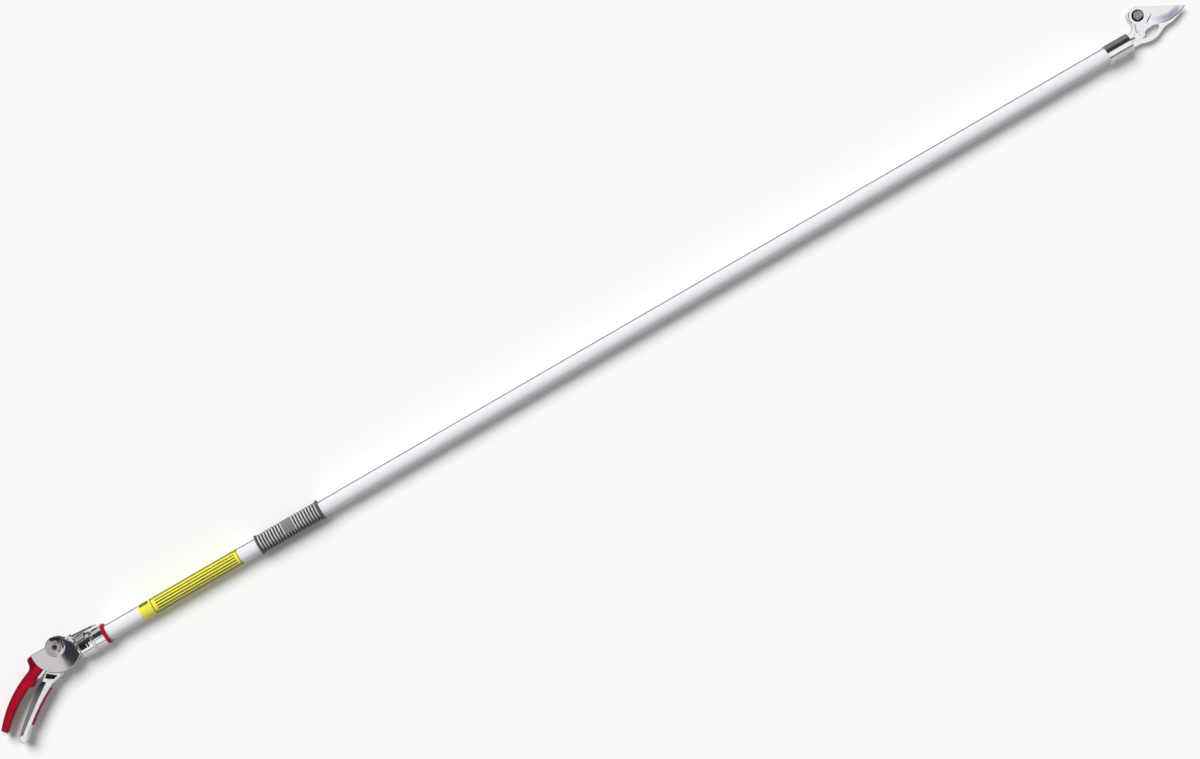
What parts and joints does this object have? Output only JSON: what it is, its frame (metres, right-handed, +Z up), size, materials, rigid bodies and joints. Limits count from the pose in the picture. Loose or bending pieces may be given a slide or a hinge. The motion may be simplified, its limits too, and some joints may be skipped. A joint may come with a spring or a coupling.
{
  "type": "long-reach pruner",
  "caption": "Long-reach garden pruner: a pole with a squeeze-trigger handle at one end and a bypass blade and hook at the other, worked by a pull rod.",
  "frame": {"origin": "middle of the tool's box, on the surface it lies on", "axes": "+X along the pole from the handle to the blade, +Y away from the trigger, +Z up with the tool lying on its side"},
  "size_m": [1.8604, 0.1108, 0.03],
  "materials": {
    "polished_plate": "polished",
    "cast_alloy": "polished casting",
    "red_vinyl": "satin",
    "red_plastic": "gloss",
    "steel": "bright",
    "spring_steel": "bright",
    "black_oxide": "satin",
    "pole_aluminium": "satin anodised",
    "yellow_label": "gloss film",
    "grey_rubber": "matte",
    "nylon": "matte",
    "chrome": "polished",
    "blade_steel": "ground"
  },
  "bodies": {
    "handle": {"side_plate_near": "polished_plate", "side_plate_far": "polished_plate", "plate_dowels": "steel", "handle_core": "cast_alloy", "rear_grip": "red_vinyl", "trigger_pivot_bolt": "steel", "trigger_pivot_nut": "steel", "neck": "cast_alloy", "spindle_clip": "spring_steel", "index_lever_pin": "steel", "index_lever_spring": "spring_steel", "return_spring": "spring_steel"},
    "trigger": {"trigger": "cast_alloy", "trigger_pad": "red_vinyl", "trigger_rod_pin": "steel"},
    "index_lever": {"index_lever": "steel"},
    "yoke": {"rod_yoke": "steel", "rod_swivel": "steel"},
    "pole": {"pole_tube": "pole_aluminium", "label_band": "yellow_label", "hand_grip": "grey_rubber", "pole_socket": "cast_alloy", "index_ring": "cast_alloy", "socket_collar": "red_plastic", "rod_guides": "nylon", "head_socket": "chrome", "head_clamp_bar": "steel", "clamp_screws": "steel", "head_plug": "cast_alloy", "hook": "chrome", "hook_tang_pin": "steel", "head_pivot_bolt": "steel", "head_pivot_washer": "black_oxide", "head_pivot_nut": "steel"},
    "rod": {"pull_rod": "steel", "rod_eye": "steel"},
    "blade": {"blade": "blade_steel", "blade_link_pin": "black_oxide"}
  },
  "joints": [
    {"name": "trigger_squeeze", "type": "hinge", "parent": "handle", "child": "trigger", "pos_m": [-0.8098, 0.03631, 0.015], "axis": [0, 0, 1], "range_deg": [0, 38], "stiffness_Nm_per_rad": 0.14, "springref_deg": 154.7},
    {"name": "yoke_slide", "type": "slide", "parent": "handle", "child": "yoke", "axis": [1, 0, 0], "range_m": [0, 0.01205], "deforming": ["return_spring"]},
    {"name": "pole_turn", "type": "hinge", "parent": "handle", "child": "pole", "pos_m": [-0.7838, 0.01781, 0.015], "axis": [1, 0, 0], "continuous": true},
    {"name": "rod_slide", "type": "slide", "parent": "pole", "child": "rod", "axis": [1, 0, 0], "range_m": [0, 0.01205]},
    {"name": "blade_cut", "type": "hinge", "parent": "pole", "child": "blade", "pos_m": [0.8675, 0.04301, 0.015], "axis": [0, 0, 1], "range_deg": [0, 28.61]},
    {"name": "index_lever_lift", "type": "hinge", "parent": "handle", "child": "index_lever", "pos_m": [-0.7903, 0.03681, 0.015], "axis": [0, 0, 1], "range_deg": [-2.8, 0]}
  ],
  "couplings": [
    {"joint": "yoke_slide", "follows": "trigger_squeeze", "m_per_rad": 0.018163},
    {"joint": "rod_slide", "follows": "trigger_squeeze", "m_per_rad": 0.018163},
    {"joint": "blade_cut", "follows": "trigger_squeeze", "ratio": 0.75281}
  ]
}
